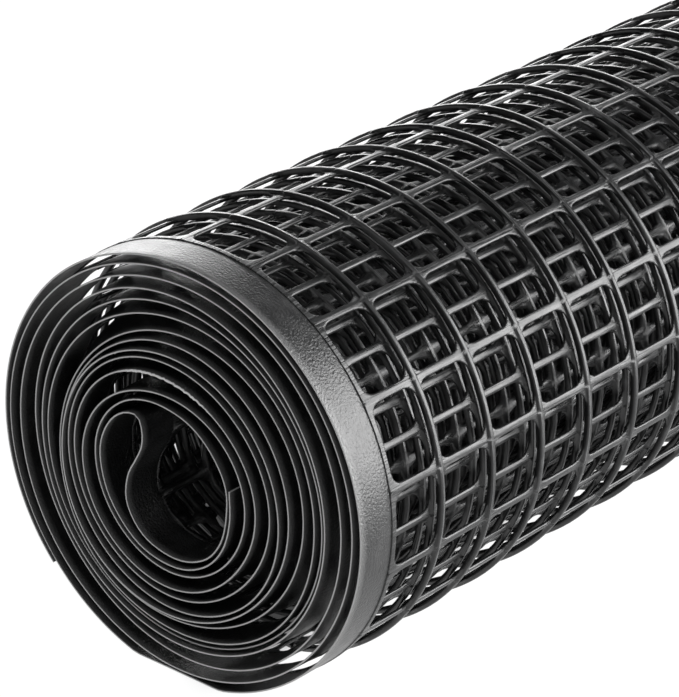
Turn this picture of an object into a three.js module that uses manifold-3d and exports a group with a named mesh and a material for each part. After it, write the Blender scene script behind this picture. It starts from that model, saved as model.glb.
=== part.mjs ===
// A loosely wound roll of black plastic mesh fencing, lying on its side.
// One strip of net with a plain band along both edges is wound into twelve turns around an S-shaped inner fold.
// Millimetres, +Z up. The roll lies along X, and its origin is the middle of its underside.
import * as THREE from 'three';
import { mergeVertices } from 'three/addons/utils/BufferGeometryUtils.js';
import Module from 'manifold-3d';

// Driving dimensions
const ROLL_RADIUS = 78;        // mean outer radius of the roll
const ROLL_LENGTH = 609.6;     // the strip is 24 inches wide
const WALL = 1.2;              // thickness of the wound sheet
const OVAL = 0.032;            // share by which the roll is longer across one way than across the other
const OVAL_ANGLE = -23.2;      // direction of the longer way, in degrees from +Y towards +Z
const FLAT_HALF_ANGLE = 9;     // half the angle that the flat spot under the roll takes, in degrees
const RING_PITCH = 25.4;       // real distance from rib to rib along the roll
const BAND_WIDTH = 14.3;       // plain band along each edge of the strip
const BAR_ANGLE = 21.5;        // real angle from bar to bar on the outer turn, in degrees
const LOOSE_END_ANGLE = -42.5; // where the outer end of the strip lies, in degrees

// The cells cut through the outer turn are at close to twice the net's real pitch
const CELL_ANGLE = 2 * BAR_ANGLE;
const CELL_COLUMNS = 8;
const STRAND = 5;              // width of the strands left between the cut cells
const NET_WIDTH = ROLL_LENGTH - 2 * BAND_WIDTH + STRAND;
const CELL_ROWS = Math.round(NET_WIDTH / (2 * RING_PITCH)) + 1;
const CELL_PITCH_X = NET_WIDTH / CELL_ROWS;
const CORNER = 7;              // cut-off corners of a cell
const LAST_BAR_ANGLE = -41.4;  // the bar nearest to the loose end, in degrees
const CUT_BELOW = 0.25;        // how far below the outer turn's sheet the cutters reach
const CUT_ABOVE = 3;           // how far above it they start

const EIGHTH = 45;             // the turns are described every eighth of a turn
const FINE_STEPS = 5;          // steps of an eighth in the outer turns
const COARSE_STEPS = 3;        // steps of an eighth in the inner turns
const COARSE_TURNS = 8;
const CORE_STEPS = 3;          // steps between two points of the inner fold

// Shares of the roll's radius at eight directions, a row for each turn from the inner one outwards.
// The strip winds from +Y down and around, so the columns are in the order in which it passes them.
const TURNS = [
  // right, lower right, bottom, lower left, left, upper left, top, upper right
  [0.478, 0.497, 0.505, 0.430, 0.375, 0.341, 0.350, 0.420],
  [0.548, 0.574, 0.562, 0.502, 0.447, 0.400, 0.430, 0.555],
  [0.587, 0.614, 0.608, 0.563, 0.524, 0.479, 0.513, 0.609],
  [0.621, 0.675, 0.644, 0.614, 0.571, 0.547, 0.563, 0.640],
  [0.654, 0.714, 0.680, 0.670, 0.627, 0.620, 0.621, 0.693],
  [0.685, 0.738, 0.716, 0.717, 0.685, 0.697, 0.669, 0.737],
  [0.714, 0.761, 0.752, 0.773, 0.738, 0.748, 0.736, 0.775],
  [0.744, 0.786, 0.782, 0.809, 0.783, 0.785, 0.803, 0.809],
  [0.773, 0.812, 0.818, 0.850, 0.820, 0.840, 0.858, 0.864],
  [0.816, 0.841, 0.890, 0.911, 0.888, 0.915, 0.904, 0.907],
  [0.895, 0.904, 0.960, 0.960, 0.944, 0.957, 0.955, 0.953],
  [0.961, 0.957, 1.014, 0.996, 0.993, 0.993, 1.004, 0.997],
];
const BEFORE_FIRST = 0.390;              // leads the inner fold into the first turn
const AFTER_LAST = [1.010, 0.998, 0.998]; // the outer end, laid over the turn below it

// The inner fold, from the strip's free end: outside the hollow's wall and up to the head of the S,
// over the head, and back round the hollow to the first turn
const INNER_FOLD = [
  // angle in degrees from +Y towards +Z, share of the roll's radius
  { angle: 174, radius: 0.297 },
  { angle: 200, radius: 0.321 },
  { angle: 225, radius: 0.373 },
  { angle: 248, radius: 0.422 },
  { angle: 272, radius: 0.455 },
  { angle: 300, radius: 0.469 },
  { angle: 330, radius: 0.458 },
  { angle: 357, radius: 0.441 },
  { angle: 378, radius: 0.402 },
  { angle: 393, radius: 0.355 },
  { angle: 401, radius: 0.303 },
  { angle: 393, radius: 0.243 },
  { angle: 376, radius: 0.214 },
  { angle: 358, radius: 0.235 },
  { angle: 340, radius: 0.303 },
  { angle: 322, radius: 0.376 },
  { angle: 300, radius: 0.417 },
  { angle: 272, radius: 0.416 },
  { angle: 247, radius: 0.390 },
  { angle: 225, radius: 0.343 },
  { angle: 200, radius: 0.290 },
  { angle: 172, radius: 0.266 },
  { angle: 140, radius: 0.250 },
  { angle: 108, radius: 0.268 },
  { angle: 80, radius: 0.302 },
  { angle: 58, radius: 0.348 },
  { angle: 38, radius: 0.395 },
  { angle: 18, radius: 0.438 },
];

const radians = THREE.MathUtils.degToRad;
const LAST_EIGHTH = TURNS.length * 8 - LOOSE_END_ANGLE / EIGHTH;
const CONTROLS = [...TURNS.flat(), ...AFTER_LAST];

// Radius share after a number of eighths of a turn: a smooth curve drawn along the table's values
function radiusShare(eighths) {
  const index = Math.min(Math.floor(eighths), LAST_EIGHTH);
  const f = eighths - index;
  const value = (i) => (i < 0 ? BEFORE_FIRST : CONTROLS[Math.min(i, CONTROLS.length - 1)]);
  const weights = [
    (1 - f) ** 3,
    3 * f ** 3 - 6 * f ** 2 + 4,
    -3 * f ** 3 + 3 * f ** 2 + 3 * f + 1,
    f ** 3,
  ];
  return weights.reduce((sum, weight, k) => sum + (weight * value(index - 1 + k)) / 6, 0);
}

// A point at an angle, from a share of the roll's radius, moved out by a distance along the radius
function ovalPoint(angle, share, out = 0) {
  const oval = 1 + OVAL * Math.cos(2 * radians(angle - OVAL_ANGLE));
  const radius = ROLL_RADIUS * oval * share + out;
  return new THREE.Vector2(radius * Math.cos(radians(angle)), radius * Math.sin(radians(angle)));
}

// A point of the sheet's middle line in the wound turns
function turnPoint(eighths, out = 0) {
  return ovalPoint(-EIGHTH * eighths, radiusShare(eighths), out);
}

// Height of the flat spot's middle line: where the outer turn passes the edge of the spot
const FLAT_EIGHTHS = (TURNS.length - 1) * 8 + (90 + FLAT_HALF_ANGLE) / EIGHTH;
const FLAT_Z = turnPoint(FLAT_EIGHTHS).y;

function rested(point, out = 0) {
  return new THREE.Vector2(point.x, Math.max(point.y, FLAT_Z - out));
}

// Places along the wound strip, in eighths of a turn: both ends, and each whole step between them
function stations(first, last, steps) {
  const places = [first];
  for (let i = Math.floor(first * steps) + 1; i < last * steps; i += 1) {
    places.push(i / steps);
  }
  places.push(last);
  return places;
}

// Middle line of the whole strip, from its free inner end to its loose outer end
function middleLine() {
  const fold = INNER_FOLD.map(({ angle, radius }) => ovalPoint(angle, radius));
  const knots = [...fold, turnPoint(0), turnPoint(0.5)].map((p) => new THREE.Vector3(p.x, p.y, 0));
  const curve = new THREE.CatmullRomCurve3(knots, false, 'centripetal');
  const line = [];
  for (let i = 0; i < fold.length * CORE_STEPS; i += 1) {
    const point = curve.getPoint(i / CORE_STEPS / (knots.length - 1));
    line.push(new THREE.Vector2(point.x, point.y));
  }
  const coarseEnd = COARSE_TURNS * 8;
  const inner = stations(0, coarseEnd, COARSE_STEPS).slice(0, -1);
  const outer = stations(coarseEnd, LAST_EIGHTH, FINE_STEPS);
  line.push(...inner.map((eighths) => turnPoint(eighths)));
  line.push(...outer.map((eighths) => rested(turnPoint(eighths))));
  return line;
}

// The sheet's section: the middle line moved half a wall to each side
function sheetSection(line) {
  const left = [];
  const right = [];
  line.forEach((point, i) => {
    const before = line[Math.max(i - 1, 0)];
    const after = line[Math.min(i + 1, line.length - 1)];
    const along = after.clone().sub(before).normalize();
    const side = new THREE.Vector2(-along.y, along.x).multiplyScalar(WALL / 2);
    left.push(point.clone().add(side));
    right.push(point.clone().sub(side));
  });
  return [...left, ...right.reverse()];
}

// The outer turn as a closed ring section between two distances from its middle line
function outerRingSection(inside, outside, firstEighth, lastEighth) {
  const places = stations(firstEighth, lastEighth, FINE_STEPS);
  const side = (out) => places.map((eighths) => rested(turnPoint(eighths, out), out));
  return [...side(inside), ...side(outside).reverse()];
}

// Extrude a section of the YZ plane along X
function alongX(section, length, from) {
  const points = THREE.ShapeUtils.isClockWise(section) ? [...section].reverse() : section;
  const geometry = new THREE.ExtrudeGeometry(new THREE.Shape(points), {
    depth: length,
    bevelEnabled: false,
    curveSegments: 1,
  });
  const turned = new THREE.Matrix4().set(
    0, 0, 1, from,
    1, 0, 0, 0,
    0, 1, 0, 0,
    0, 0, 0, 1,
  );
  return geometry.applyMatrix4(turned);
}

const wasm = await Module();
wasm.setup();

function solidOf(geometry) {
  const bare = geometry.clone();
  bare.deleteAttribute('normal');
  bare.deleteAttribute('uv');
  const merged = mergeVertices(bare, 1e-4);
  return new wasm.Manifold(new wasm.Mesh({
    numProp: 3,
    vertProperties: new Float32Array(merged.attributes.position.array),
    triVerts: new Uint32Array(merged.index.array),
  }));
}

function geometryOf(solid) {
  const mesh = solid.getMesh();
  const geometry = new THREE.BufferGeometry();
  geometry.setAttribute('position', new THREE.BufferAttribute(new Float32Array(mesh.vertProperties), 3));
  geometry.setIndex(new THREE.BufferAttribute(new Uint32Array(mesh.triVerts), 1));
  return geometry;
}

// One cell's cutter: a block with cut-off corners that stands across the outer turn
function cellCutter(x, angle) {
  const halfX = (CELL_PITCH_X - STRAND) / 2;
  const halfY = ROLL_RADIUS * Math.sin(radians(CELL_ANGLE / 2)) - STRAND / 2;
  const outline = [
    [-halfX, -halfY + CORNER],
    [-halfX + CORNER, -halfY],
    [halfX - CORNER, -halfY],
    [halfX, -halfY + CORNER],
    [halfX, halfY - CORNER],
    [halfX - CORNER, halfY],
    [-halfX + CORNER, halfY],
    [-halfX, halfY - CORNER],
  ].map(([a, b]) => new THREE.Vector2(a, b));
  const geometry = new THREE.ExtrudeGeometry(new THREE.Shape(outline), {
    depth: ROLL_RADIUS,
    bevelEnabled: false,
  });
  geometry.translate(0, 0, ROLL_RADIUS / 2);
  geometry.rotateX(radians(angle - 90));
  geometry.translate(x, 0, 0);
  return solidOf(geometry);
}

function cellMiddles(count, pitch) {
  return Array.from({ length: count }, (_, i) => (i - (count - 1) / 2) * pitch);
}

function buildRoll() {
  let roll = solidOf(alongX(sheetSection(middleLine()), ROLL_LENGTH, -ROLL_LENGTH / 2));

  const firstEighth = LAST_EIGHTH - 8;
  const shell = solidOf(alongX(
    outerRingSection(-WALL / 2 - CUT_BELOW, WALL / 2 + CUT_ABOVE, firstEighth, LAST_EIGHTH),
    ROLL_LENGTH,
    -ROLL_LENGTH / 2,
  ));
  const cutters = [];
  for (const x of cellMiddles(CELL_ROWS, CELL_PITCH_X)) {
    for (let column = 0; column < CELL_COLUMNS; column += 1) {
      cutters.push(cellCutter(x, LAST_BAR_ANGLE - CELL_ANGLE * (column + 0.5)));
    }
  }
  const cells = wasm.Manifold.union(cutters).intersect(shell);
  roll = roll.subtract(cells);
  return roll;
}

const rollGeometry = geometryOf(buildRoll());
rollGeometry.computeBoundingBox();
const { min, max } = rollGeometry.boundingBox;
rollGeometry.translate(0, -(min.y + max.y) / 2, -min.z);

const meshRoll = new THREE.Mesh(
  rollGeometry,
  new THREE.MeshStandardMaterial({ color: 0x17181a, roughness: 0.42, metalness: 0 }),
);
meshRoll.name = 'mesh_roll';

const part = new THREE.Group();
part.add(meshRoll);

export default part;
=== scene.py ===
"""Looks of a loosely wound roll of black plastic mesh fencing.

One strip of moulded net, with a plain band along both edges, is wound into twelve turns around an
S-shaped inner fold. The strip is worked out flat, from its own repeat, and then laid along the
wound line. Lengths are in millimetres until a mesh is written, where they become metres.
"""

import logging
import math
from dataclasses import dataclass, field
from enum import Enum

import bpy
import numpy as np
from mathutils import Matrix, Vector


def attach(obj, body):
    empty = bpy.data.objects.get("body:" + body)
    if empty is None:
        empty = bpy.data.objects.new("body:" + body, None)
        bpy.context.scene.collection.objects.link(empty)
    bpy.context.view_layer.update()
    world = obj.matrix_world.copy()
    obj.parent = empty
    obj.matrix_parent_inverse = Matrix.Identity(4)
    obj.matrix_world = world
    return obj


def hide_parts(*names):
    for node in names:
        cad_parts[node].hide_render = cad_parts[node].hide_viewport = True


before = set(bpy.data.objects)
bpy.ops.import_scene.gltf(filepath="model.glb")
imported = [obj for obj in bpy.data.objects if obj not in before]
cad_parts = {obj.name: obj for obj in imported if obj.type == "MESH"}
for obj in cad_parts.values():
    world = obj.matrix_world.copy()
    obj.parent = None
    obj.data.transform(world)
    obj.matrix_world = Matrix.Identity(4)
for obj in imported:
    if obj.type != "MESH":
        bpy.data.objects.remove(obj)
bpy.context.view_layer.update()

LOG = logging.getLogger("mesh_roll")
METRES = 0.001
NODE = "mesh_roll"
BODY = "root"
PLACE_NAME = "strip_place"
# each point's share of the paler cut-edge colour, partly the cut's own tone and partly a painted
# highlight
CUT_EDGE_AND_HIGHLIGHT_NAME = "cut_edge_and_highlight"
STRAND_NAME = "lengthwise"
WHITE = (1, 1, 1, 1)
EIGHTHS_A_TURN = 8
TOUCHING = 1e-6
KEYS_PER_MM = 500
KEY_OFFSET = 0.137

IMAGE_WIDTH = 679
IMAGE_HEIGHT = 697


def waves(s: np.ndarray, rows: tuple) -> np.ndarray:
    """Sum of sine waves along the strip, from rows of height, length of a radian and start."""
    return sum(height * np.sin(s / radian + start) for height, radian, start in rows)


@dataclass(frozen=True)
class WoundLine:
    """The middle line of the wound strip, in the plane across the roll.

    The line starts at the strip's free inner end, runs round the inner fold and winds outwards.
    Angles are in degrees from +Y towards +Z, and radii are shares of the roll's radius. The turns
    are the line of the net, and the edge turns are that of the strip's free edges, which lie
    closer together in some places and further apart in others.
    """

    radius: float = 78.0
    length: float = 609.6
    wall: float = 1.2
    oval: float = 0.032
    oval_angle: float = -23.2
    band: float = 14.3
    flat_half_angle: float = 9.0
    loose_end_angle: float = -42.5
    eighth: float = 45.0
    steps_per_eighth: int = 24
    steps_per_fold_span: int = 10
    probes_per_eighth: int = 5
    rib_lift: float = 1.85
    before_first: float = 0.390
    after_last: tuple = (1.010, 0.998, 0.998)
    after_last_edge: tuple = (0.986, 1.002, 1.000)
    # right, lower right, bottom, lower left, left, upper left, top, upper right
    edge_turns: tuple = (
        (0.466, 0.497, 0.500, 0.425, 0.375, 0.341, 0.350, 0.415),
        (0.540, 0.570, 0.570, 0.475, 0.450, 0.403, 0.430, 0.525),
        (0.580, 0.600, 0.612, 0.540, 0.522, 0.480, 0.513, 0.575),
        (0.609, 0.645, 0.662, 0.624, 0.571, 0.549, 0.563, 0.595),
        (0.621, 0.705, 0.690, 0.642, 0.629, 0.617, 0.621, 0.616),
        (0.633, 0.740, 0.714, 0.690, 0.688, 0.691, 0.669, 0.640),
        (0.648, 0.752, 0.768, 0.788, 0.742, 0.762, 0.736, 0.730),
        (0.744, 0.764, 0.804, 0.806, 0.785, 0.775, 0.803, 0.795),
        (0.756, 0.776, 0.822, 0.828, 0.820, 0.836, 0.858, 0.850),
        (0.786, 0.790, 0.890, 0.905, 0.888, 0.911, 0.904, 0.905),
        (0.890, 0.908, 0.960, 0.950, 0.950, 0.960, 0.955, 0.955),
        (0.970, 0.990, 1.014, 0.995, 0.993, 0.988, 1.004, 0.995),
    )
    # right, lower right, bottom, lower left, left, upper left, top, upper right
    turns: tuple = (
        (0.478, 0.497, 0.505, 0.430, 0.375, 0.341, 0.350, 0.420),
        (0.548, 0.574, 0.562, 0.502, 0.447, 0.400, 0.430, 0.555),
        (0.587, 0.614, 0.608, 0.563, 0.524, 0.479, 0.513, 0.609),
        (0.621, 0.675, 0.644, 0.614, 0.571, 0.547, 0.563, 0.640),
        (0.654, 0.714, 0.680, 0.670, 0.627, 0.620, 0.621, 0.693),
        (0.685, 0.738, 0.716, 0.717, 0.685, 0.697, 0.669, 0.737),
        (0.714, 0.761, 0.752, 0.773, 0.738, 0.748, 0.736, 0.775),
        (0.744, 0.786, 0.782, 0.809, 0.783, 0.785, 0.803, 0.809),
        (0.773, 0.812, 0.818, 0.850, 0.820, 0.840, 0.858, 0.864),
        (0.816, 0.841, 0.890, 0.911, 0.888, 0.915, 0.904, 0.907),
        (0.895, 0.904, 0.960, 0.960, 0.944, 0.957, 0.955, 0.953),
        (0.961, 0.957, 1.014, 0.996, 0.993, 0.993, 1.004, 0.997),
    )
    # angle, radius
    fold: tuple = (
        (174, 0.297), (200, 0.321), (225, 0.373), (248, 0.422), (272, 0.455), (300, 0.469),
        (330, 0.458), (357, 0.441), (378, 0.402), (393, 0.355), (401, 0.303), (393, 0.243),
        (376, 0.214), (358, 0.235), (340, 0.303), (322, 0.376), (300, 0.417), (272, 0.416),
        (247, 0.390), (225, 0.343), (200, 0.290), (172, 0.266), (140, 0.250), (108, 0.268),
        (80, 0.302), (58, 0.348), (38, 0.395), (18, 0.438),
    )

    @property
    def last_eighth(self) -> float:
        """Where the loose outer end lies, in eighths of a turn."""
        return len(self.turns) * EIGHTHS_A_TURN - self.loose_end_angle / self.eighth

    def radius_share(self, eighths: np.ndarray, rows: tuple, after: tuple) -> np.ndarray:
        """Radius after a number of eighths of a turn, as a smooth cubic curve along a table.

        Args:
            eighths: Places along the winding, in eighths of a turn.
            rows: The table, a row for each turn.
            after: The values that lead on past the table's last turn.

        Returns:
            Shares of the roll's radius, one for each place.
        """
        controls = np.concatenate([[self.before_first], np.ravel(rows), after])
        index = np.clip(np.floor(eighths).astype(int), 0, len(controls) - 4)
        f = eighths - index
        weights = np.stack([
            (1 - f) ** 3,
            3 * f ** 3 - 6 * f ** 2 + 4,
            -3 * f ** 3 + 3 * f ** 2 + 3 * f + 1,
            f ** 3,
        ])
        return sum(weights[k] * controls[index + k] for k in range(4)) / 6

    def turn_points(self, eighths: np.ndarray) -> np.ndarray:
        """Points of the wound turns: the radius times a two-lobed oval, at the winding's angle."""
        share = self.radius_share(eighths, self.turns, self.after_last)
        return self.oval_points(-self.eighth * eighths, share)

    def edge_shift(self, eighths: np.ndarray) -> np.ndarray:
        """How far the strip's free edges lie outside the net's line, or inside it.

        Args:
            eighths: Places along the winding, below zero in the inner fold, which has no shift.

        Returns:
            Distances along the radius.
        """
        wound = np.clip(eighths, 0, self.last_eighth)
        edge = self.radius_share(wound, self.edge_turns, self.after_last_edge)
        net = self.radius_share(wound, self.turns, self.after_last)
        return self.radius * (edge - net) * np.clip(eighths, 0, 1)

    def oval_points(self, angle: np.ndarray, share: np.ndarray) -> np.ndarray:
        """Points at angles and shares of the radius, which a two-lobed oval lengthens one way.

        Args:
            angle: Angles in degrees.
            share: Shares of the roll's radius.

        Returns:
            Rows of Y and Z, from the roll's axis.
        """
        turned = np.radians(angle)
        oval = 1 + self.oval * np.cos(2 * (turned - math.radians(self.oval_angle)))
        radius = self.radius * oval * share
        return np.stack([radius * np.cos(turned), radius * np.sin(turned)], axis=1)

    def fold_points(self) -> np.ndarray:
        """The inner fold, as a centripetal spline through its points and on to the first turn.

        Each span is a cubic with the end slopes that the spacing of the points gives.

        Returns:
            Rows of Y and Z, from the roll's axis.
        """
        angle, share = np.array(self.fold, float).T
        knots = self.oval_points(angle, share)
        knots = np.concatenate([knots, self.turn_points(np.array([0.0, 0.5]))])
        before = np.concatenate([[2 * knots[0] - knots[1]], knots[:-2]])[:-1]
        start, end, after = knots[:-2], knots[1:-1], knots[2:]
        gap_0 = np.linalg.norm(start - before, axis=1)[:, None] ** 0.5
        gap_1 = np.linalg.norm(end - start, axis=1)[:, None] ** 0.5
        gap_2 = np.linalg.norm(after - end, axis=1)[:, None] ** 0.5
        slope_0 = gap_1 * (
            (start - before) / gap_0 - (end - before) / (gap_0 + gap_1) + (end - start) / gap_1)
        slope_1 = gap_1 * (
            (end - start) / gap_1 - (after - start) / (gap_1 + gap_2) + (after - end) / gap_2)
        t = np.arange(self.steps_per_fold_span)[None, :, None] / self.steps_per_fold_span
        spans = (
            (2 * t ** 3 - 3 * t ** 2 + 1) * start[:, None]
            + (t ** 3 - 2 * t ** 2 + t) * slope_0[:, None]
            + (3 * t ** 2 - 2 * t ** 3) * end[:, None]
            + (t ** 3 - t ** 2) * slope_1[:, None]
        )
        return spans.reshape(-1, 2)

    def wound_points(self) -> np.ndarray:
        """All turns from the inner fold out, lifted where the roll's ribs rest on the floor.

        Returns:
            Rows of Y and Z, from the roll's axis.
        """
        count = int(round(self.last_eighth * self.steps_per_eighth))
        points = self.turn_points(np.linspace(0, self.last_eighth, count + 1))
        points[:, 1] = np.maximum(points[:, 1], self.floor_height() + self.rib_lift)
        return points

    def floor_height(self) -> float:
        """Height of the floor under the roll's axis, where the outer turn's sheet lies flat."""
        edge = (len(self.turns) - 1) * EIGHTHS_A_TURN + (90 + self.flat_half_angle) / self.eighth
        return float(self.turn_points(np.array([edge]))[0, 1]) - self.wall / 2

    def axis_place(self) -> tuple:
        """Where the roll's axis lies in the part's frame, from the box of the CAD solid.

        Returns:
            Y and Z of the axis.
        """
        first = (len(self.turns) - 2) * EIGHTHS_A_TURN * self.probes_per_eighth
        last = int(self.last_eighth * self.probes_per_eighth)
        places = np.arange(first, last + 1) / self.probes_per_eighth
        across = self.turn_points(np.append(places, self.last_eighth))[:, 0]
        return -(across.min() + across.max()) / 2, -self.floor_height()


class Strip:
    """The wound strip as a surface: a place along it, across it and above it gives a point."""

    SETTLED = 900.0
    CREEP_WAVES = ((0.8, 310.0, 0.7), (0.6, 127.0, 0.0))

    def __init__(self, line: WoundLine) -> None:
        """Works the wound line out and measures it.

        Args:
            line: The strip's wound middle line.
        """
        self.line = line
        points = np.concatenate([line.fold_points(), line.wound_points()])
        steps = np.linalg.norm(np.diff(points, axis=0), axis=1)
        self.points = points
        self.along = np.concatenate([[0.0], np.cumsum(steps)])
        self.length = float(self.along[-1])
        tangent = np.gradient(points, self.along, axis=0)
        tangent /= np.linalg.norm(tangent, axis=1)[:, None]
        self.normal = np.stack([-tangent[:, 1], tangent[:, 0]], axis=1)
        self.axis_y, self.axis_z = line.axis_place()
        wound = int(round(line.last_eighth * line.steps_per_eighth))
        self.eighths = (np.arange(len(points)) - (len(points) - 1 - wound)) / line.steps_per_eighth
        self.shift = line.edge_shift(self.eighths)

    def place(self, s: np.ndarray, x: np.ndarray, h: np.ndarray) -> np.ndarray:
        """Lays flat places of the strip on the wound line.

        A point is the line's point at s, moved h along the line's outer normal, with x along the
        roll. In the edge bands it also takes its share of the free edge's shift, which is whole at
        the edge and fades to nothing at the net.

        Args:
            s: Distances along the strip from its inner end.
            x: Distances across the strip from its near edge.
            h: Heights above the strip's middle, outwards.

        Returns:
            Rows of X, Y and Z in metres, in the part's frame.
        """
        y, z = (np.interp(s, self.along, self.points[:, k]) for k in range(2))
        ny, nz = (np.interp(s, self.along, self.normal[:, k]) for k in range(2))
        size = np.hypot(ny, nz)
        drift = self.drift(s)
        from_edge = np.minimum(x, self.line.length - x)
        share = np.clip(1 - from_edge / self.line.band, 0, 1)
        h = h + share * share * (3 - 2 * share) * np.interp(s, self.along, self.shift)
        placed = np.stack([
            x + drift - self.line.length / 2,
            y + h * ny / size + self.axis_y,
            z + h * nz / size + self.axis_z,
        ], axis=1)
        return placed * METRES

    def drift(self, s: np.ndarray) -> np.ndarray:
        """How far the strip has crept along the roll: slow waves that fade to the outer end."""
        inside = np.clip((self.length - s) / self.SETTLED, 0, 1)
        return inside * waves(s, self.CREEP_WAVES)

    def eighths_to_s(self, eighths: float) -> float:
        """Distance along the strip, from its inner end, at a number of eighths of a turn."""
        return float(np.interp(eighths, self.eighths, self.along))


@dataclass(frozen=True)
class NetSizes:
    """The net's repeat, flat: ribs run along the strip and round the roll, bars run across it."""

    rib_pitch: float = 25.4
    bar_pitch: float = 29.25
    anchor_angle: float = 146.9
    rib_width: float = 2.2
    bar_width: float = 2.9
    corner: float = 4.6
    half_thick: float = 0.6
    edge_round: float = 0.4
    rib_height: float = 1.15
    rib_squareness: float = 3.2
    dome: float = 0.16
    lip: float = 2.3
    # how far inwards along the strip from the anchor, how far the bars have crept there
    creep: tuple = ((0, 0.0), (110, 0.0), (490, 4.7), (960, 0.9), (1390, -5.0), (1800, 0.0))


class RowKind(Enum):
    """Where a row of cells lies across the strip."""

    NEAR_BAND = "near band"
    MIDDLE = "middle"
    FAR_BAND = "far band"


@dataclass(frozen=True)
class Detail:
    """How finely a cell is drawn.

    Corner way is the share of the border round a cell's corner at which each of the corner's
    points stands. Plate and flank are the shares of the way to the rib's foot, and of the way on
    from it, at which the outer side has points. Under is the same for the whole way on the inner
    side.
    """

    corner_way: tuple
    rib_side_steps: int
    bar_side_steps: int
    plate: tuple
    flank: tuple
    under: tuple


FINE = Detail(
    corner_way=(0, 0.3, 0.4, 0.5, 0.6, 0.7, 1),
    rib_side_steps=4,
    bar_side_steps=2,
    plate=(0.12, 0.35, 0.7, 1.0),
    flank=(0.05, 0.18, 0.5, 1.0),
    under=(1.0, 0.35),
)
MEDIUM = Detail((0, 0.4, 0.5, 0.6, 1), 3, 1, (0.3, 1.0), (0.1, 0.45, 1.0), (1.0,))
COARSE = Detail((0, 0.5, 1), 2, 1, (0.6,), (0.3, 1.0), (1.0,))


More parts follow.
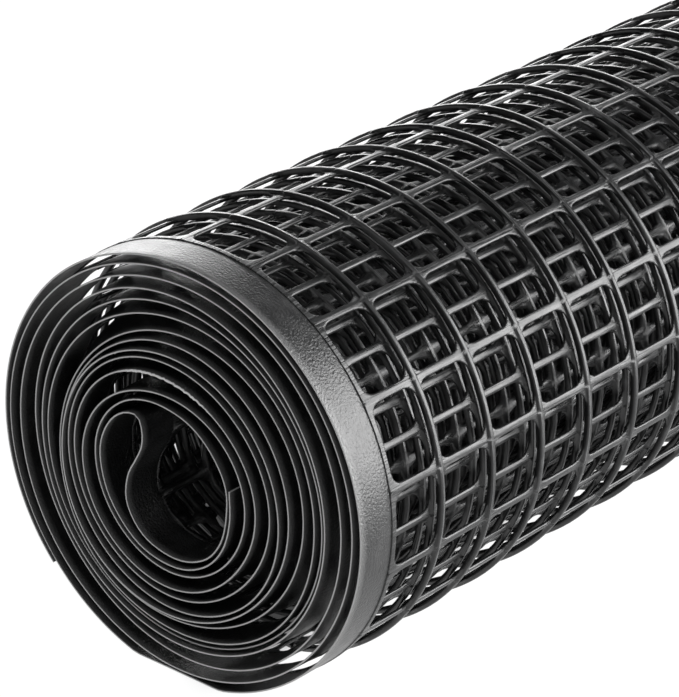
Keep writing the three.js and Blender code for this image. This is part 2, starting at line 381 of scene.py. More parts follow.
class NetCell:
    """One cell of the net as a closed collar of surface round its hole, in flat places."""

    LEAST_FOOT = 0.06
    MOST_FOOT = 0.8
    FAR_FROM_RIB = 1e3

    def __init__(self, sizes: NetSizes, kind: RowKind, span: float) -> None:
        """Keeps the cell's sizes.

        Args:
            sizes: The net's repeat.
            kind: Where the cell's row lies.
            span: Distance across the strip that the cell takes.
        """
        self.sizes = sizes
        self.kind = kind
        self.span = span
        low_rim = sizes.lip if kind is RowKind.NEAR_BAND else sizes.rib_width / 2
        high_rim = sizes.lip if kind is RowKind.FAR_BAND else sizes.rib_width / 2
        self.hole_low = -span / 2 + low_rim
        self.hole_high = span / 2 - high_rim

    def corner_arc(self, number: int, way: tuple) -> tuple:
        """A quarter circle at one of the hole's corners, and the border points opposite it.

        Args:
            number: Which corner, anticlockwise from the high one on both axes.
            way: Shares of the border round the corner at which its points stand.

        Returns:
            Two arrays of rows of x and s: the arc, and the border round the cell's own corner.
        """
        sizes = self.sizes
        half_s = sizes.bar_pitch / 2
        hole_s = half_s - sizes.bar_width / 2
        to_high_x, to_high_s = number in (0, 3), number in (0, 1)
        hx = self.hole_high if to_high_x else self.hole_low
        hs = hole_s if to_high_s else -hole_s
        half_x = self.span / 2
        corner = np.array([half_x if to_high_x else -half_x, half_s if to_high_s else -half_s])
        centre = np.array([value - math.copysign(sizes.corner, value) for value in (hx, hs)])
        f = np.linspace(0, 1, len(way))
        angle = math.pi / 2 * (number + f)
        arc = centre + sizes.corner * np.stack([np.cos(angle), np.sin(angle)], axis=1)
        start = np.where(np.abs(arc[0] - [hx, hs]) < TOUCHING, corner, arc[0])
        end = np.where(np.abs(arc[-1] - [hx, hs]) < TOUCHING, corner, arc[-1])
        g = np.array(way, float)[:, None]
        inwards, onwards = start + (corner - start) * g * 2, corner + (end - corner) * (2 * g - 1)
        edge = np.where(g <= 0.5, inwards, onwards)
        return arc, edge

    def rings(self, detail: Detail) -> tuple:
        """The hole's rounded outline and the matching points of the cell's own border.

        The outline is four quarter circles joined by straight sides, anticlockwise from above with
        x to the right and s up.

        Args:
            detail: How finely the cell is drawn.

        Returns:
            Two arrays of rows of x and s: the outline, and the border.
        """
        corners = [self.corner_arc(number, detail.corner_way) for number in range(4)]
        outline, border = [], []
        for number in range(4):
            steps = detail.bar_side_steps if number % 2 == 0 else detail.rib_side_steps
            share = (np.arange(1, steps) / steps)[:, None]
            for points, ring in zip((outline, border), (0, 1)):
                here, after = corners[number][ring], corners[(number + 1) % 4][ring]
                points += [here, here[-1] + (after[0] - here[-1]) * share]
        return np.concatenate(outline), np.concatenate(border)

    def to_rib(self, x: np.ndarray) -> np.ndarray:
        """Distance from the nearer rib's middle; a band's side has no rib.

        Args:
            x: Places across the strip, from the cell's middle.

        Returns:
            Distances.
        """
        distance = np.full_like(x, self.FAR_FROM_RIB)
        if self.kind is not RowKind.NEAR_BAND:
            distance = np.minimum(distance, np.abs(x + self.span / 2))
        if self.kind is not RowKind.FAR_BAND:
            distance = np.minimum(distance, np.abs(x - self.span / 2))
        return distance

    def heights(self, x: np.ndarray, s: np.ndarray, depth: np.ndarray) -> np.ndarray:
        """Height of the outer side above the strip's middle.

        The plate rises from its middle at the hole's edge in a quarter round. A rib with steep
        sides and a softly flattened top stands on it, and the bars have a low dome.

        Args:
            x: Places across the strip, from the cell's middle.
            s: Places along the strip, from the cell's middle.
            depth: Distances from the hole's edge.

        Returns:
            Heights.
        """
        sizes = self.sizes
        to_rib = self.to_rib(x)
        across = np.clip(to_rib / (sizes.rib_width / 2), 0, 1)
        rib = (1 - across ** sizes.rib_squareness) ** (1 / sizes.rib_squareness)
        to_bar = np.abs(np.abs(s) - sizes.bar_pitch / 2)
        dome = np.clip(1 - (to_bar / (sizes.bar_width / 2)) ** 2, 0, 1) * (1 - rib)
        rise = self.rise(depth)
        return sizes.half_thick * rise + sizes.rib_height * rib + sizes.dome * dome * rise

    def rise(self, depth: np.ndarray) -> np.ndarray:
        """The quarter round at the hole's edge, from 0 at the edge to 1 where the plate is flat."""
        return np.sqrt(1 - (1 - np.clip(depth / self.sizes.edge_round, 0, 1)) ** 2)

    def outer_shares(self, hole: np.ndarray, border: np.ndarray, detail: Detail) -> np.ndarray:
        """Shares of the way from hole to border at which the outer side has points.

        Where the way climbs a rib, points crowd at the rib's foot, so that its flank stays steep.

        Args:
            hole: Rows of x and s on the hole's outline.
            border: Rows of x and s on the cell's border.
            detail: How finely the cell is drawn.

        Returns:
            A row of shares for each point of the outline.
        """
        start, end = self.to_rib(hole[:, 0]), self.to_rib(border[:, 0])
        way = np.maximum(start - end, TOUCHING)
        foot = np.where(start > end + TOUCHING, (start - self.sizes.rib_width / 2) / way, 1.0)
        foot = np.clip(foot, self.LEAST_FOOT, self.MOST_FOOT)[:, None]
        up_the_rib = foot + (1 - foot) * np.array(detail.flank)
        return np.concatenate([foot * detail.plate, up_the_rib], axis=1)

    def template(self, detail: Detail) -> tuple:
        """The collar's grid, round the hole one way and from the inner side to the outer the other.

        Args:
            detail: How finely the cell is drawn.

        Returns:
            Rows of x, s and h, and rows of four corner numbers.
        """
        hole, border = self.rings(detail)
        outer = self.outer_shares(hole, border, detail)
        inner = np.tile([*detail.under, 0.0], (len(hole), 1))
        share = np.concatenate([inner, outer], axis=1)
        flat = hole[:, None] + (border - hole)[:, None] * share[..., None]
        depth = np.linalg.norm(border - hole, axis=1)[:, None] * share
        x, s = flat[..., 0], flat[..., 1]
        over = np.arange(share.shape[1]) > len(detail.under)
        h = np.where(over, self.heights(x, s, depth), -self.sizes.half_thick * self.rise(depth))
        if self.kind is RowKind.NEAR_BAND:
            h = np.where(x < -self.span / 2 + TOUCHING, 0.0, h)
        if self.kind is RowKind.FAR_BAND:
            h = np.where(x > self.span / 2 - TOUCHING, 0.0, h)
        rows, columns = x.shape
        quads = grid_quads(columns, rows, around=True)
        numbers = quads % rows * columns + quads // rows
        return np.stack([x.ravel(), s.ravel(), h.ravel()], axis=1), numbers[:, ::-1]


def grid_quads(rows: int, columns: int, around: bool) -> np.ndarray:
    """Four-cornered faces of a grid of points.

    Args:
        rows: How many rows of points.
        columns: How many points in a row.
        around: True if each row closes on itself.

    Returns:
        Rows of four point numbers.
    """
    spans = columns if around else columns - 1
    i, j = np.meshgrid(np.arange(rows - 1), np.arange(spans), indexing="ij")
    following = (j + 1) % columns
    return np.stack([
        i * columns + j,
        i * columns + following,
        (i + 1) * columns + following,
        (i + 1) * columns + j,
    ], axis=-1).reshape(-1, 4)


def place_keys(flat: np.ndarray) -> np.ndarray:
    """Whole numbers that are alike for places less than about 0.002 mm apart."""
    return np.round(flat * KEYS_PER_MM + KEY_OFFSET).astype(np.int64)


def merged(flat: np.ndarray, quads: np.ndarray) -> tuple:
    """Joins points that lie in one flat place, and drops faces that this closes up.

    Args:
        flat: Rows of x, s and h.
        quads: Rows of four point numbers.

    Returns:
        The points that are left, and the faces.
    """
    _, first, number = np.unique(place_keys(flat), axis=0, return_index=True, return_inverse=True)
    faces = number.reshape(-1)[quads]
    opposite = (faces[:, 0] != faces[:, 2]) & (faces[:, 1] != faces[:, 3])
    return flat[first], faces[opposite]


def cut_walls(flat: np.ndarray, quads: np.ndarray) -> tuple:
    """Faces that close the open border, from the outer side down to the inner one.

    Each border edge of the outer side is joined to the one below it. Where the two sides already
    meet in one point, the wall there has three corners.

    Args:
        flat: Rows of x, s and h.
        quads: Rows of four point numbers.

    Returns:
        Rows of four point numbers, and rows of three.
    """
    start, end = quads.ravel(), np.roll(quads, -1, axis=1).ravel()
    lone = ~np.isin(start * len(flat) + end, end * len(flat) + start)
    start, end = start[lone], end[lone]
    border = np.unique(np.concatenate([start, end]))
    _, place = np.unique(place_keys(flat[border, :2]), axis=0, return_inverse=True)
    order = np.lexsort((flat[border, 2], place.reshape(-1)))
    ranked, ranked_place = border[order], place.reshape(-1)[order]
    lowest = ranked[np.searchsorted(ranked_place, ranked_place, side="left")]
    below = np.arange(len(flat))
    below[ranked] = lowest
    outer = (below[start] != start) | (below[end] != end)
    start, end = start[outer], end[outer]
    both = (below[start] != start) & (below[end] != end)
    walls = np.stack([end, start, below[start], below[end]], axis=1)
    at_end, at_start = below[start] == start, below[end] == end
    tips = np.concatenate([
        np.stack([end, start, below[end]], axis=1)[at_end],
        np.stack([end, start, below[start]], axis=1)[at_start],
    ])
    return walls[both], tips


def scene_object(name: str, data: bpy.types.ID) -> bpy.types.Object:
    """Makes an object of a mesh, a lamp or a camera, and puts it into the scene.

    Args:
        name: The object's name.
        data: Its mesh, lamp or camera.

    Returns:
        The object.
    """
    made = bpy.data.objects.new(name, data)
    bpy.context.scene.collection.objects.link(made)
    return made


def mesh_object(
    name: str, points: np.ndarray, smooth: np.ndarray, *flat: np.ndarray,
) -> bpy.types.Object:
    """Makes an object at the origin.

    Args:
        name: The piece's name.
        points: Rows of X, Y and Z, in metres.
        smooth: Rows of point numbers of the smooth-shaded faces.
        *flat: The same for flat-shaded faces, each array with its own number of corners.

    Returns:
        The new object, in the scene.
    """
    groups = (smooth, *flat)
    corners = np.concatenate([np.full(len(group), group.shape[1]) for group in groups])
    starts = np.cumsum(corners) - corners
    numbers = np.concatenate([group.ravel() for group in groups]).astype(np.int32)
    mesh = bpy.data.meshes.new(name)
    mesh.vertices.add(len(points))
    mesh.vertices.foreach_set("co", points.astype(np.float32).ravel())
    mesh.loops.add(len(numbers))
    mesh.loops.foreach_set("vertex_index", numbers)
    mesh.polygons.add(len(corners))
    mesh.polygons.foreach_set("loop_start", starts.astype(np.int32))
    mesh.polygons.foreach_set("use_smooth", np.arange(len(corners)) < len(smooth))
    mesh.update(calc_edges=True)
    mesh.validate()
    return scene_object(name, mesh)


def keep_places(
    piece: bpy.types.Object, s: np.ndarray, x: np.ndarray, cut: np.ndarray, lengthwise: np.ndarray,
) -> None:
    """Keeps each point's flat place on the strip, how near it is to a cut edge, and its strand.

    Args:
        piece: The piece.
        s: Distances along the strip.
        x: Distances across it.
        cut: From 0 to 1, for moulded surface to cut edge, whose paler colour is partly its own tone
            and partly a painted highlight.
        lengthwise: 1 on a strand that runs along the strip, and 0 on one that runs across it.
    """
    flat = np.stack([s, x, np.zeros_like(s)], axis=1) * METRES
    place = piece.data.attributes.new(PLACE_NAME, "FLOAT_VECTOR", "POINT")
    place.data.foreach_set("vector", flat.astype(np.float32).ravel())
    for name, values in ((CUT_EDGE_AND_HIGHLIGHT_NAME, cut), (STRAND_NAME, lengthwise)):
        kept = piece.data.attributes.new(name, "FLOAT", "POINT")
        kept.data.foreach_set("value", values.astype(np.float32))


class NetPart:
    """A stretch of the net: some of its bars, by some of its rows of cells."""

    RIB_REACH = 0.55

    def __init__(self, strip: Strip, sizes: NetSizes) -> None:
        """Works out where the bars and the rows lie.

        Args:
            strip: The wound strip.
            sizes: The net's repeat.
        """
        self.strip = strip
        self.sizes = sizes
        self.rows = self.row_spans()
        self.bars = self.bar_places()

    def bar_places(self) -> np.ndarray:
        """Where the bars lie along the strip, whose two ends are cut along bars.

        The bars stand a pitch apart from the anchor bar, which the photograph shows, and creep a
        little further in. A bar too near a cut end is left out.

        Returns:
            Distances from the strip's inner end, the ends' own bars included.
        """
        strip, sizes, line = self.strip, self.sizes, self.strip.line
        from_end = (sizes.anchor_angle - line.loose_end_angle) / line.eighth
        anchor = strip.eighths_to_s(line.last_eighth - from_end)
        inwards = sizes.bar_pitch * np.arange(int(anchor / sizes.bar_pitch) + 1)
        distance, shift = np.array(sizes.creep, float).T
        inner = anchor - inwards + np.interp(inwards, distance, shift)
        outer = np.arange(anchor + sizes.bar_pitch, strip.length, sizes.bar_pitch)
        bars = np.concatenate([inner[::-1], outer])
        least = sizes.bar_pitch / 2
        bars = bars[(bars > least) & (bars < strip.length - least)]
        return np.concatenate([[0.0], bars, [strip.length]])

    def row_spans(self) -> list:
        """Shares the strip's width out to rows of cells, between the bands and the ribs.

        Returns:
            The kind, the middle and the span of each row.
        """
        pitch, band, width = self.sizes.rib_pitch, self.strip.line.band, self.strip.line.length
        ribs = int((width - 2 * band) // pitch)
        first = (width - (ribs - 1) * pitch) / 2
        edges = [band, *(first + pitch * np.arange(ribs)), width - band]
        kinds = [RowKind.NEAR_BAND, *[RowKind.MIDDLE] * (len(edges) - 3), RowKind.FAR_BAND]
        spans = zip(kinds, edges, edges[1:])
        return [(kind, (low + high) / 2, high - low) for kind, low, high in spans]

    def on_rib(self, x: np.ndarray) -> np.ndarray:
        """Tells places on a rib from places between ribs.

        Args:
            x: Distances across the strip from its near edge.

        Returns:
            1 for a place on a rib, and 0 for one between ribs.
        """
        ribs = np.array([centre - span / 2 for _, centre, span in self.rows[1:]])
        place = np.interp(x, ribs, np.arange(len(ribs)))
        nearest = ribs[np.round(place).astype(int)]
        return (np.abs(x - nearest) < self.RIB_REACH * self.sizes.rib_width).astype(float)

    def build(self, name: str, cells: slice, rows: slice, detail: Detail) -> bpy.types.Object:
        """Args:
            name: The piece's name.
            cells: Which cells along the strip.
            rows: Which rows of cells across it.
            detail: How finely they are drawn.

        Returns:
            The piece.
        """
        starts, ends = self.bars[:-1][cells], self.bars[1:][cells]
        flats, faces, count = [], [], 0
        for kind, centre, span in self.rows[rows]:
            flat, quads = NetCell(self.sizes, kind, span).template(detail)
            share = flat[:, 1] / self.sizes.bar_pitch + 0.5
            moved = np.tile(flat, (len(starts), 1))
            moved[:, 0] += centre
            moved[:, 1] = (starts[:, None] + (ends - starts)[:, None] * share).ravel()
            offsets = np.repeat(np.arange(len(starts)) * len(flat), len(quads))[:, None]
            flats.append(moved)
            faces.append(np.tile(quads, (len(starts), 1)) + offsets + count)
            count += len(moved)
        points, joined = merged(np.concatenate(flats), np.concatenate(faces))
        placed = self.strip.place(points[:, 1], points[:, 0], points[:, 2])
        piece = mesh_object(name, placed, joined, *cut_walls(points, joined))
        on_rib = self.on_rib(points[:, 0])
        keep_places(piece, points[:, 1], points[:, 0], np.zeros(len(points)), on_rib)
        return piece


@dataclass(frozen=True)
class EdgeBand:
    """The plain band along one edge of the strip, as a section carried along the wound line."""

    strip: Strip
    half_thick: float = 0.3
    edge_round: float = 0.16
    step: float = 2.6
    across: int = 6
    overlap: float = 0.05
    cut_depth: float = 0.2
    # how pale the cut edges are away from the torn stretch: partly their own tone, partly a painted
    # highlight
    cut_edge_and_highlight_paleness: float = 0.7
    # the torn stretch of the near edge, in eighths of a turn, and how it is drawn
    torn_span: tuple = (13.25, 14.9)
    torn_step: float = 0.45
    torn_fade: float = 9.0
    torn_depth: float = 0.3
    torn_reach: float = 0.5
    torn_swell: float = 0.9
    torn_unevenness: float = 0.5
    # height, length of a radian, start
    jag_waves: tuple = ((0.4, 1 / 1.7, 0.0), (0.35, 1 / 2.9, 1.0), (0.25, 1 / 4.3, 2.2))
    waver_waves: tuple = ((0.05, 23.0, 0.0), (0.04, 41.0, 1.3), (0.03, 11.0, 0.4))

    @property
    def width(self) -> float:
        """The band's width, a little into the net's rim."""
        return self.strip.line.band + self.overlap

    def section(self) -> np.ndarray:
        """The band's closed section: a flat bar with rounded edges.

        It starts on the net's side, so that its first and last points stand one above the other,
        and so does each pair after them.

        Returns:
            Rows of the distance from the free edge, and of h.
        """
        quarter = np.radians([0.0, 45.0, 90.0])
        r = self.edge_round
        high = self.half_thick - r
        near = np.concatenate([
            np.stack([r - r * np.sin(quarter), high + r * np.cos(quarter)], axis=1),
            np.stack([r - r * np.cos(quarter), -high - r * np.sin(quarter)], axis=1),
        ])
        far = np.stack([self.width - near[:, 0], near[:, 1]], axis=1)[::-1]
        middle = np.linspace(self.width - r, r, self.across)[1:-1]
        over = np.stack([middle, np.full(len(middle), self.half_thick)], axis=1)
        under = np.stack([middle[::-1], np.full(len(middle), -self.half_thick)], axis=1)
        return np.concatenate([far[3:], over, near, under, far[:3]])

    def build(self, name: str, far_end: bool) -> bpy.types.Object:
        """On the torn stretch the near edge is thicker and jagged, most at the edge itself.

        Args:
            name: The piece's name.
            far_end: True for the band at the far end of the roll.

        Returns:
            The piece.
        """
        section = self.section()
        length = self.strip.length
        places = np.linspace(0, length, int(length / self.step) + 1)
        places = np.sort(np.append(places, [self.cut_depth, length - self.cut_depth]))
        torn_ends = [self.strip.eighths_to_s(eighths) for eighths in self.torn_span]
        if not far_end:
            places = np.sort(np.append(places, np.arange(*torn_ends, self.torn_step)))
        s = np.repeat(places, len(section))
        from_edge = np.tile(section[:, 0], len(places))
        h = np.tile(section[:, 1], len(places))
        torn = np.zeros(len(s))
        if not far_end:
            torn = np.clip(np.minimum(s - torn_ends[0], torn_ends[1] - s) / self.torn_fade, 0, 1)
        # cut edges, palest on the torn stretch: partly the cut plastic's own tone, partly a painted
        # highlight
        cut = np.clip(1 - np.minimum(from_edge, np.minimum(s, length - s)) / self.cut_depth, 0, 1)
        cut *= self.cut_edge_and_highlight_paleness + (1 - self.cut_edge_and_highlight_paleness) * torn
        near = torn * np.clip(1 - from_edge / self.torn_reach, 0, 1)
        from_edge = from_edge + self.torn_depth * near * waves(s, self.jag_waves)
        uneven = self.torn_unevenness * waves(s + self.torn_fade, self.jag_waves)
        h = h * (1 + near * (self.torn_swell + uneven))
        h = h + self.waver(s, from_edge)
        x = self.strip.line.length - from_edge if far_end else from_edge
        sides = grid_quads(len(places), len(section), around=True)
        caps = self.caps(len(places), len(section))
        if not far_end:
            sides, caps = sides[:, ::-1], caps[:, ::-1]
        piece = mesh_object(name, self.strip.place(s, x, h), sides, caps)
        keep_places(piece, s, x, cut, np.ones(len(s)))
        return piece

    def caps(self, rows: int, columns: int) -> np.ndarray:
        """Faces over the two ends of the section, each between two pairs of points.

        Args:
            rows: How many times the section stands along the strip.
            columns: How many points the section has.

        Returns:
            Rows of four point numbers.
        """
        i = np.arange(columns // 2 - 1)
        first = np.stack([i, i + 1, columns - 2 - i, columns - 1 - i], axis=1)
        last = first[:, ::-1] + (rows - 1) * columns
        return np.concatenate([first, last])

    def waver(self, s: np.ndarray, from_edge: np.ndarray) -> np.ndarray:
        """The free edge's slight waver, as slow waves that fade towards the net."""
        return waves(s, self.waver_waves) * np.clip(1 - from_edge / self.width, 0, 1)


def fill(tree: bpy.types.NodeTree, node: bpy.types.Node, inputs: dict) -> None:
    """Fills a node's inputs.

    Args:
        tree: The tree that the node is in.
        node: The node.
        inputs: For the name or number of each input, a constant or the socket that feeds it.
    """
    for key, value in inputs.items():
        if isinstance(value, bpy.types.NodeSocket):
            tree.links.new(value, node.inputs[key])
        else:
            node.inputs[key].default_value = value


def add_node(tree: bpy.types.NodeTree, kind: str, inputs: dict, **options: str) -> bpy.types.Node:
    """Adds a node, sets its options and fills its inputs.

    Args:
        tree: The tree that it goes into.
        kind: Its kind, without the leading ShaderNode.
        inputs: For the name or number of each input, a constant or the socket that feeds it.
        **options: Its options.

    Returns:
        The node.
    """
    made = tree.nodes.new("ShaderNode" + kind)
    for option, value in options.items():
        setattr(made, option, value)
    fill(tree, made, inputs)
    return made


def mixed(tree: bpy.types.NodeTree, *inputs: object, **options: str) -> bpy.types.NodeSocket:
    """Mixes two inputs, given as the factor, the first and the second."""
    made = add_node(tree, "Mix", dict(zip(("Factor", "A", "B"), inputs)), **options)
    return made.outputs["Result"]


def carried(tree: bpy.types.NodeTree, *inputs: object, **options: str) -> bpy.types.NodeSocket:
    """Carries a value from one range to another, given as the value and the four ends."""
    names = ("Value", "From Min", "From Max", "To Min", "To Max")
    return add_node(tree, "MapRange", dict(zip(names, inputs)), **options).outputs["Result"]


def kept_values(tree: bpy.types.NodeTree, name: str, output: str) -> bpy.types.NodeSocket:
    """Reads the values that the pieces keep for each of their points."""
    return add_node(tree, "Attribute", {}, attribute_name=name).outputs[output]


class PlasticSurface:
    """The surface that both finishes share, as one group of nodes."""

    NAME = "moulded_surface"
    ALONG = (20.0, 1500.0, 1.0)
    ACROSS = (1500.0, 40.0, 1.0)
    MOTTLE_SCALE = 160.0
    MOTTLE_DETAIL = 4.0
    FINE_DETAIL = 3.0

    def __init__(self) -> None:
        """Makes the group: grain, a slow mottle, and streaks that follow each strand's length."""
        group = bpy.data.node_groups.new(self.NAME, "ShaderNodeTree")
        group.interface.new_socket("Grain Scale", in_out="INPUT", socket_type="NodeSocketFloat")
        for name in ("Grain", "Mottle", "Streaks"):
            group.interface.new_socket(name, in_out="OUTPUT", socket_type="NodeSocketFloat")
        self.group = group
        inputs, outputs = (group.nodes.new("NodeGroup" + end) for end in ("Input", "Output"))
        place = kept_values(group, PLACE_NAME, "Vector")
        along, across = (self.streaks(place, scales) for scales in (self.ALONG, self.ACROSS))
        fill(group, outputs, {
            "Grain": self.noise(place, inputs.outputs["Grain Scale"], self.FINE_DETAIL),
            "Mottle": self.noise(place, self.MOTTLE_SCALE, self.MOTTLE_DETAIL),
            "Streaks": mixed(group, kept_values(group, STRAND_NAME, "Fac"), across, along),
        })

    def streaks(self, place: bpy.types.NodeSocket, scales: tuple) -> bpy.types.NodeSocket:
        """Noise on strip places that are stretched by a scale along each axis."""
        stretch = add_node(self.group, "VectorMath", {0: place, 1: scales}, operation="MULTIPLY")
        return self.noise(stretch.outputs["Vector"], 1.0, self.FINE_DETAIL)

    def noise(self, place: bpy.types.NodeSocket, scale: object, detail: float) -> bpy.types.NodeSocket:
        """Noise at a place, with a scale and a number of finer layers."""
        inputs = {"Vector": place, "Scale": scale, "Detail": detail}
        return add_node(self.group, "TexNoise", inputs).outputs["Fac"]


@dataclass(frozen=True)
class BlackPlastic:
    """A satin black finish of the moulded strip, with its grain, mottle, streaks and paler cut edges,
    partly their own tone and partly a painted highlight.
    """

    name: str
    colour: tuple
    worn_colour: tuple
    cut_edge_and_highlight_colour: tuple
    smoothest: float
    roughest: float
    grain_scale: float
    grain_strength: float
    relief: float
    streak_share: float
    rough_range: tuple
    wear_range: tuple

    def make(self, surface: PlasticSurface) -> bpy.types.Material:
        """Builds the material.

        The colour goes from the plain to the worn one with mottle and streaks, and to the paler cut
        one at a cut edge, which is partly the cut plastic's own tone and partly a painted highlight.
        Mottle also moves the roughness, and grain and streaks raise the surface.

        Args:
            surface: The shared group.

        Returns:
            The material.
        """
        material = bpy.data.materials.new(self.name)
        material.use_nodes = True
        tree = material.node_tree
        group = add_node(tree, "Group", {}, node_tree=surface.group)
        fill(tree, group, {"Grain Scale": self.grain_scale})
        grain, mottle, streaks = (group.outputs[name] for name in ("Grain", "Mottle", "Streaks"))
        blend = mixed(tree, self.streak_share, mottle, streaks)
        height = mixed(tree, self.streak_share, grain, streaks)
        wear = carried(tree, blend, *self.wear_range, 0.0, 1.0)
        tone = mixed(tree, wear, (*self.colour, 1), (*self.worn_colour, 1), data_type="RGBA")
        # pale cut edges: partly the cut plastic's own tone, partly a painted highlight
        cut = kept_values(tree, CUT_EDGE_AND_HIGHLIGHT_NAME, "Fac")
        bump = {"Strength": self.grain_strength, "Distance": self.relief, "Height": height}
        fill(tree, tree.nodes["Principled BSDF"], {
            "Roughness": carried(tree, blend, *self.rough_range, self.smoothest, self.roughest),
            "Base Color": mixed(tree, cut, tone, (*self.cut_edge_and_highlight_colour, 1), data_type="RGBA"),
            "Normal": add_node(tree, "Bump", bump).outputs["Normal"],
        })
        return material


NET_FINISH = BlackPlastic(
    name="black_net",
    colour=(0.007, 0.0072, 0.0075),
    worn_colour=(0.075, 0.076, 0.077),
    cut_edge_and_highlight_colour=(0.10, 0.10, 0.10),
    smoothest=0.22,
    roughest=0.56,
    grain_scale=1300.0,
    grain_strength=0.85,
    relief=0.0003,
    streak_share=0.75,
    rough_range=(0.38, 0.64),
    wear_range=(0.54, 0.68),
)
BAND_FINISH = BlackPlastic(
    name="black_band",
    colour=(0.009, 0.0092, 0.0095),
    worn_colour=(0.020, 0.0202, 0.0205),
    # the band's pale cut edges: partly the cut plastic's own tone, partly a painted highlight
    cut_edge_and_highlight_colour=(0.60, 0.60, 0.60),
    smoothest=0.28,
    roughest=0.40,
    grain_scale=1100.0,
    grain_strength=0.9,
    relief=0.0004,
    streak_share=0.15,
    rough_range=(0.3, 0.7),
    wear_range=(0.42, 0.75),
)


def dress(piece: bpy.types.Object, material: bpy.types.Material) -> None:
    """Gives a piece its material and ties it to the frame.

    Args:
        piece: The piece.
        material: Its finish.
    """
    piece.data.materials.append(material)
    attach(piece, BODY)
    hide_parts(NODE)
    LOG.info("%s: %d faces", piece.name, len(piece.data.polygons))


@dataclass(frozen=True)
class Camera:
    """The photograph's camera, as it was solved from the roll's end and ribs.

    Distances are in shares of the roll's radius, from the middle of the near end.
    """

    azimuth: float = -48.638
    elevation: float = 25.913
    distance: float = 13.306
    focal_pixels: float = 3213.1
    end_pixel: tuple = (174.51, 476.53)
    sensor: float = 36.0
    clip_start: float = 0.01

    def build(self, strip: Strip) -> bpy.types.Object:
        """Places the camera so that the near end's middle falls on its pixel.

        Args:
            strip: The wound strip, for the roll's axis and length.

        Returns:
            The camera.
        """
        az, el = math.radians(self.azimuth), math.radians(self.elevation)
        forward = Vector((-math.sin(az) * math.cos(el), math.cos(az) * math.cos(el), -math.sin(el)))
        right = Vector((math.cos(az), math.sin(az), 0))
        up = right.cross(forward)
        ray = Vector((
            (self.end_pixel[0] - IMAGE_WIDTH / 2) / self.focal_pixels,
            -(self.end_pixel[1] - IMAGE_HEIGHT / 2) / self.focal_pixels,
            1,
        )).normalized()
        towards = right * ray.x + up * ray.y + forward * ray.z
        line = strip.line
        end = Vector((-line.length / 2, strip.axis_y, strip.axis_z))
        place = (end - towards * self.distance * line.radius) * METRES
        data = bpy.data.cameras.new("photo_camera")
        data.sensor_width = self.sensor
        data.lens = self.focal_pixels * self.sensor / max(IMAGE_WIDTH, IMAGE_HEIGHT)
        data.clip_start = self.clip_start
        camera = scene_object("photo_camera", data)
        turned = Matrix((right, up, -forward)).transposed()
        camera.matrix_world = Matrix.Translation(place) @ turned.to_4x4()
        bpy.context.scene.camera = camera
        return camera


@dataclass(frozen=True)
class Softbox:
    """One soft rectangular lamp: where it stands, what it points at, its size and its power."""

    name: str
    place: tuple
    aim: tuple
    width: float
    height: float
    watts: float

    def build(self) -> None:
        """Adds the lamp to the scene."""
        data = bpy.data.lights.new(self.name, "AREA")
        data.shape = "RECTANGLE"
        data.size = self.width
        data.size_y = self.height
        data.energy = self.watts
        lamp = scene_object(self.name, data)
        lamp.location = self.place
        turn = (Vector(self.aim) - Vector(self.place)).to_track_quat("-Z", "Y")
        lamp.rotation_euler = turn.to_euler()


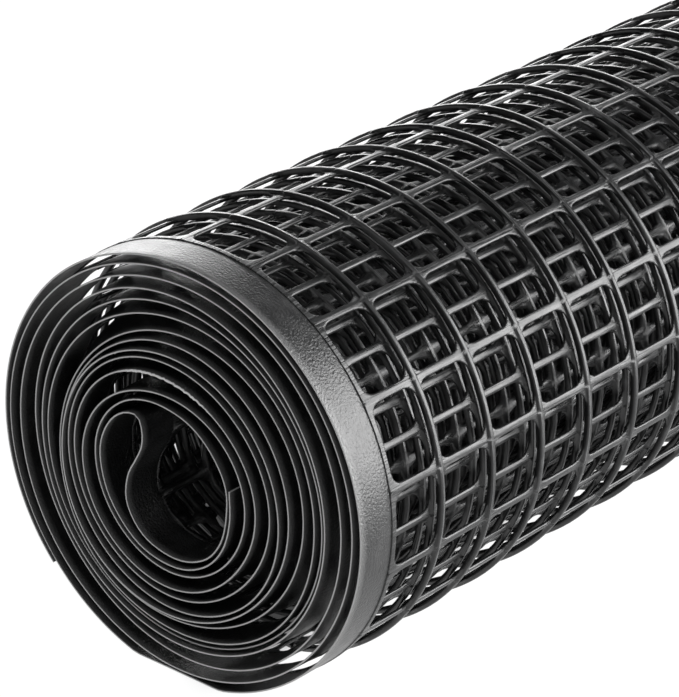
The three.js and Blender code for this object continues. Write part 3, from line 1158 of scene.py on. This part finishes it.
@dataclass(frozen=True)
class Studio:
    """Soft lamps, and a floor that glows pale except in a painted shadow under and behind the roll."""

    floor_size: float = 16.0
    floor_tone: float = 0.06
    floor_glow: float = 1.0
    floor_roughness: float = 0.9
    # the glow left inside the painted shadow under the roll, and the slant of its near side
    painted_shadow_glow: float = 0.05
    painted_shadow_slant: float = -0.55
    # where the painted shadow under the roll starts and is whole: near end, far end, two sides
    painted_shadow_edges: tuple = ((-0.308, -0.262), (0.305, 0.262), (-0.022, -0.002), (0.135, 0.068))
    surround: float = 0.07
    overhead: float = 0.8
    overhead_spread: float = 60.0
    overhead_aim: tuple = (0.35, 0.1, -1.0)
    panels: tuple = (
        Softbox("right_panel", (0.55, -0.60, 0.40), (0.55, 0.0, 0.40), 1.5, 0.80, 42.0),
        Softbox("back_panel", (2.2, 2.4, 0.70), (0.0, 0.0, 0.10), 2.6, 1.4, 84.0),
        Softbox("high_panel", (2.6, 0.6, 2.4), (0.0, 0.0, 0.10), 2.6, 2.0, 6.0),
    )

    def build(self) -> None:
        """Makes the floor, the surround and the lamps."""
        half = self.floor_size / 2
        corners = np.array([[-half, -half, 0], [half, -half, 0], [half, half, 0], [-half, half, 0]])
        floor = mesh_object("floor", corners, np.array([[0, 1, 2, 3]]))
        pale = bpy.data.materials.new("pale_floor")
        pale.use_nodes = True
        tree = pale.node_tree
        fill(tree, tree.nodes["Principled BSDF"], {
            "Base Color": (*[self.floor_tone] * 3, 1),
            "Emission Color": WHITE,
            # an even pale glow, dimmed to a painted shadow under and behind the roll
            "Emission Strength": self.glow_with_painted_shadow(tree),
            "Roughness": self.floor_roughness,
            "Specular IOR Level": 0.0,
        })
        floor.data.materials.append(pale)
        world = bpy.data.worlds.new("studio")
        bpy.context.scene.world = world
        world.use_nodes = True
        tree = world.node_tree
        fill(tree, tree.nodes["Background"], {"Color": WHITE, "Strength": self.surround})
        data = bpy.data.lights.new("overhead", "SUN")
        data.energy = self.overhead
        data.angle = math.radians(self.overhead_spread)
        lamp = scene_object("overhead", data)
        lamp.rotation_euler = Vector(self.overhead_aim).to_track_quat("-Z", "Y").to_euler()
        for panel in self.panels:
            panel.build()
        bpy.context.scene.view_settings.view_transform = "Standard"

    def glow_with_painted_shadow(self, tree: bpy.types.NodeTree) -> bpy.types.NodeSocket:
        """The floor's glow, which fades in a painted shadow: a dark patch under and behind the roll.

        The patch is set by place, and isn't a shadow that a lamp casts. It is the product of four
        smooth steps, one at each of its sides. The near one is slanted, taken on X plus a share of
        Y, which keeps it out of sight from the photograph's angle.

        Args:
            tree: The floor material's nodes.

        Returns:
            The socket that gives the glow.
        """
        place = add_node(tree, "TexCoord", {}).outputs["Object"]
        parts = add_node(tree, "SeparateXYZ", {"Vector": place}).outputs
        slant = {0: parts["Y"], 1: self.painted_shadow_slant, 2: parts["X"]}
        slanted = add_node(tree, "Math", slant, operation="MULTIPLY_ADD").outputs["Value"]
        # painted shadow: 1 inside the dark patch under the roll, 0 outside it
        painted_shadow = 1.0
        for measure, edge in zip((slanted, parts["X"], parts["Y"], parts["Y"]), self.painted_shadow_edges):
            step = carried(tree, measure, *edge, interpolation_type="SMOOTHSTEP")
            product = add_node(tree, "Math", {0: painted_shadow, 1: step}, operation="MULTIPLY")
            painted_shadow = product.outputs["Value"]
        return carried(tree, painted_shadow, 0.0, 1.0, self.floor_glow, self.painted_shadow_glow)


@dataclass
class MeshRoll:
    """The whole roll: the net's turns and the two edge bands."""

    line: WoundLine = field(default_factory=WoundLine)
    sizes: NetSizes = field(default_factory=NetSizes)

    def build(self) -> Strip:
        """Builds and dresses every piece.

        Returns:
            The wound strip.
        """
        strip = Strip(self.line)
        net = NetPart(strip, self.sizes)
        LOG.info("strip %.0f mm long, with %d bars", strip.length, len(net.bars))
        back = [EIGHTHS_A_TURN * turns for turns in (1, 2, 3)]
        turn_ends = [strip.eighths_to_s(self.line.last_eighth - turns) for turns in back]
        outer, second, third = (int(np.searchsorted(net.bars, place)) for place in turn_ends)
        half = len(net.rows) // 2
        near, far = slice(0, half), slice(half, None)
        surface = PlasticSurface()
        black = NET_FINISH.make(surface)
        pieces = [
            net.build("net_outer_turn_near", slice(outer, None), near, FINE),
            net.build("net_outer_turn_far", slice(outer, None), far, FINE),
            net.build("net_second_turn", slice(second, outer), slice(None), MEDIUM),
            net.build("net_third_turn", slice(third, second), slice(None), MEDIUM),
            net.build("net_inner_turns_near", slice(0, third), near, COARSE),
            net.build("net_inner_turns_far", slice(0, third), far, COARSE),
        ]
        for piece in pieces:
            dress(piece, black)
        edge = EdgeBand(strip)
        plain = BAND_FINISH.make(surface)
        dress(edge.build("band_near", far_end=False), plain)
        dress(edge.build("band_far", far_end=True), plain)
        return strip


def main() -> None:
    """Builds the roll, the studio and the camera."""
    logging.basicConfig(level=logging.INFO, format="%(message)s")
    strip = MeshRoll().build()
    Studio().build()
    Camera().build(strip)


if __name__ == "__main__":
    main()
